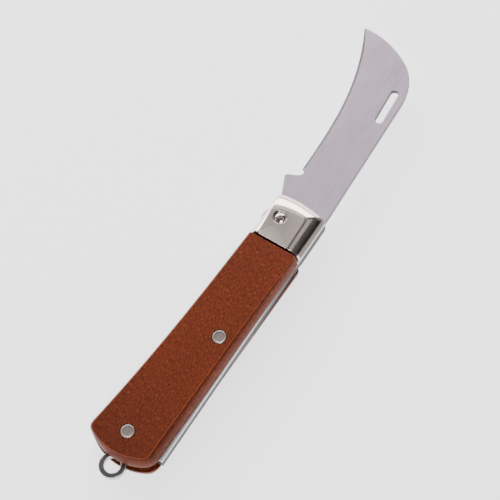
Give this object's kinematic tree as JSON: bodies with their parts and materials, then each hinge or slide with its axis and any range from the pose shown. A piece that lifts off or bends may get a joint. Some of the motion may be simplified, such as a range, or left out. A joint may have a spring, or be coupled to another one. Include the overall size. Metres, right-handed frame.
{
  "type": "folding grafting knife",
  "caption": "Folding grafting and pruning knife, shown open, with a hawkbill blade, wooden scales on steel liners, polished bolsters, a back spring and a lanyard ring.",
  "frame": {"origin": "under the middle of the bounding box, on the surface that the knife lies on", "axes": "+X from the handle towards the blade's tip, +Y towards the cutting edge and the open side of the handle, +Z out of the near face"},
  "size_m": [0.2076, 0.0332, 0.016],
  "materials": {
    "blade_steel": "satin stainless, fine grain",
    "spring_steel": "ground spring steel, satin",
    "liner_steel": "bright rolled sheet, polished edge",
    "bolster_steel": "polished stainless with light handling marks",
    "wood": "reddish-brown hardwood under a thin semi-gloss lacquer",
    "rivet_steel": "flat ground steel with a lighter rim",
    "link_steel": "dark oxidised steel, bright at its outer edge"
  },
  "bodies": {
    "handle": {"spring_tail": "spring_steel", "liner_near": "liner_steel", "liner_far": "liner_steel", "bolster_near": "bolster_steel", "bolster_far": "bolster_steel", "scale_near": "wood", "scale_far": "wood", "pivot_rivet": "bolster_steel", "mid_rivet_cap": "rivet_steel", "mid_rivet_post": "rivet_steel", "end_rivet_cap": "rivet_steel", "end_rivet_post": "rivet_steel", "tail_pin": "spring_steel", "bolster_pin_near_1": "liner_steel", "bolster_pin_near_2": "liner_steel", "bolster_pin_far_1": "liner_steel", "bolster_pin_far_2": "liner_steel"},
    "blade": {"blade": "blade_steel"},
    "spring": {"spring_arm": "spring_steel"},
    "lanyard": {"lanyard_link": "link_steel"}
  },
  "joints": [
    {"name": "blade_fold", "type": "hinge", "parent": "handle", "child": "blade", "pos_m": [0.01494, -0.00155, 0.008], "axis": [0, 0, 1], "range_deg": [0, 174]},
    {"name": "spring_lift", "type": "hinge", "parent": "handle", "child": "spring", "pos_m": [-0.03796, -0.00875, 0.008], "axis": [0, 0, -1], "range_deg": [0, 1.4], "stiffness_Nm_per_rad": 20},
    {"name": "lanyard_swing", "type": "hinge", "parent": "handle", "child": "lanyard", "pos_m": [-0.08636, -0.00035, 0.008], "axis": [0, 0, 1], "range_deg": [-85, 40]}
  ]
}
